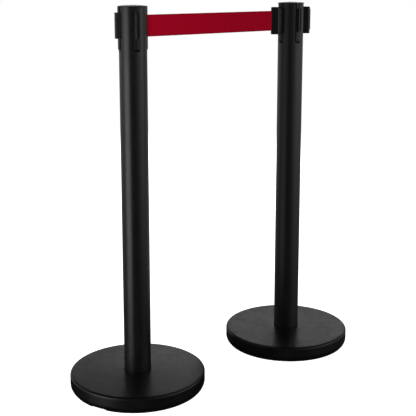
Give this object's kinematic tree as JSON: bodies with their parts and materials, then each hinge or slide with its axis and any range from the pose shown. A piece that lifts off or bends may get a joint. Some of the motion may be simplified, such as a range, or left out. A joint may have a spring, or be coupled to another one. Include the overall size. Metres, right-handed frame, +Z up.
{
  "type": "retractable belt stanchion",
  "caption": "Linked retractable belt stanchions: weighted round bases, black tubes, heads with belt cassettes and receivers, red webbing clipped across.",
  "frame": {"origin": "on the floor, midway between the two posts' axes", "axes": "+X from the left post to the right one along the row, +Z up; the belt outlets point roughly along +X"},
  "size_m": [0.7844, 0.3174, 0.89],
  "materials": {
    "cover_black": "satin black moulded cover with a fine texture",
    "cast_weight": "rough casting with a thin coat of black paint",
    "rubber_black": "matt black rubber",
    "zinc_steel": "zinc-plated steel",
    "tube_black": "smooth semi-gloss black powder coat",
    "head_black": "black moulded nylon",
    "receiver_black": "black moulded nylon",
    "cassette_black": "black moulded plastic",
    "bright_steel": "bright ground steel",
    "cap_black": "black moulded plastic with a satin edge",
    "spring_steel": "blued spring steel strip",
    "spool_white": "natural white acetal",
    "belt_red": "woven red polyester webbing",
    "clip_black": "black moulded nylon"
  },
  "bodies": {
    "left_post": {"left_base_cover": "cover_black", "left_base_weight": "cast_weight", "left_floor_pad": "rubber_black", "left_base_bolt": "zinc_steel", "left_base_washer": "zinc_steel", "left_foot_plug": "zinc_steel", "left_tube": "tube_black", "left_head_core": "head_black", "left_receiver_left": "receiver_black", "left_receiver_back": "receiver_black", "left_receiver_right": "receiver_black", "left_outlet_guide": "receiver_black", "left_guide_pin": "bright_steel", "left_cassette_lid": "cassette_black", "left_cassette_floor": "cassette_black", "left_cassette_screws": "bright_steel", "left_cap": "cap_black", "left_axle": "bright_steel", "left_axle_clip": "zinc_steel", "left_spring_cup": "zinc_steel", "left_power_spring": "spring_steel", "left_belt": "belt_red"},
    "left_spool": {"left_spool": "spool_white", "left_belt_roll": "belt_red"},
    "left_clip": {"left_clip_body": "clip_black", "left_clip_tongue": "clip_black", "left_clip_pin": "bright_steel"},
    "right_post": {"right_base_cover": "cover_black", "right_base_weight": "cast_weight", "right_floor_pad": "rubber_black", "right_base_bolt": "zinc_steel", "right_base_washer": "zinc_steel", "right_foot_plug": "zinc_steel", "right_tube": "tube_black", "right_head_core": "head_black", "right_receiver_left": "receiver_black", "right_receiver_back": "receiver_black", "right_receiver_right": "receiver_black", "right_outlet_guide": "receiver_black", "right_guide_pin": "bright_steel", "right_cassette_lid": "cassette_black", "right_cassette_floor": "cassette_black", "right_cassette_screws": "bright_steel", "right_cap": "cap_black", "right_axle": "bright_steel", "right_axle_clip": "zinc_steel", "right_spring_cup": "zinc_steel", "right_power_spring": "spring_steel", "right_belt": "belt_red"},
    "right_spool": {"right_spool": "spool_white", "right_belt_roll": "belt_red"},
    "right_clip": {"right_clip_body": "clip_black", "right_clip_tongue": "clip_black", "right_clip_pin": "bright_steel"}
  },
  "joints": [
    {"name": "belt_run", "type": "slide", "parent": "left_post", "child": "right_post", "axis": [1, 0, 0], "range_m": [-0.13, 1.5], "deforming": ["left_belt"]},
    {"name": "left_spool_turn", "type": "hinge", "parent": "left_post", "child": "left_spool", "pos_m": [-0.2335, 0, 0.84], "axis": [0, 0, 1], "range_deg": [-4176, 372], "deforming": ["left_power_spring"]},
    {"name": "left_clip_lift", "type": "slide", "parent": "right_post", "child": "left_clip", "axis": [0, 0, 1], "range_m": [0, 0.06]},
    {"name": "right_clip_pull", "type": "slide", "parent": "right_post", "child": "right_clip", "axis": [0.9951, -0.0993, 0], "range_m": [0, 1.9], "stiffness_N_per_m": 1.5, "springref_m": -1, "deforming": ["right_belt"]},
    {"name": "right_spool_turn", "type": "hinge", "parent": "right_post", "child": "right_spool", "pos_m": [0.2335, 0, 0.84], "axis": [0, 0, 1], "range_deg": [-4872, 10], "deforming": ["right_power_spring"]}
  ],
  "couplings": [
    {"joint": "left_spool_turn", "follows": "belt_run", "rad_per_m": -48.47},
    {"joint": "right_spool_turn", "follows": "right_clip_pull", "rad_per_m": -44.66}
  ]
}
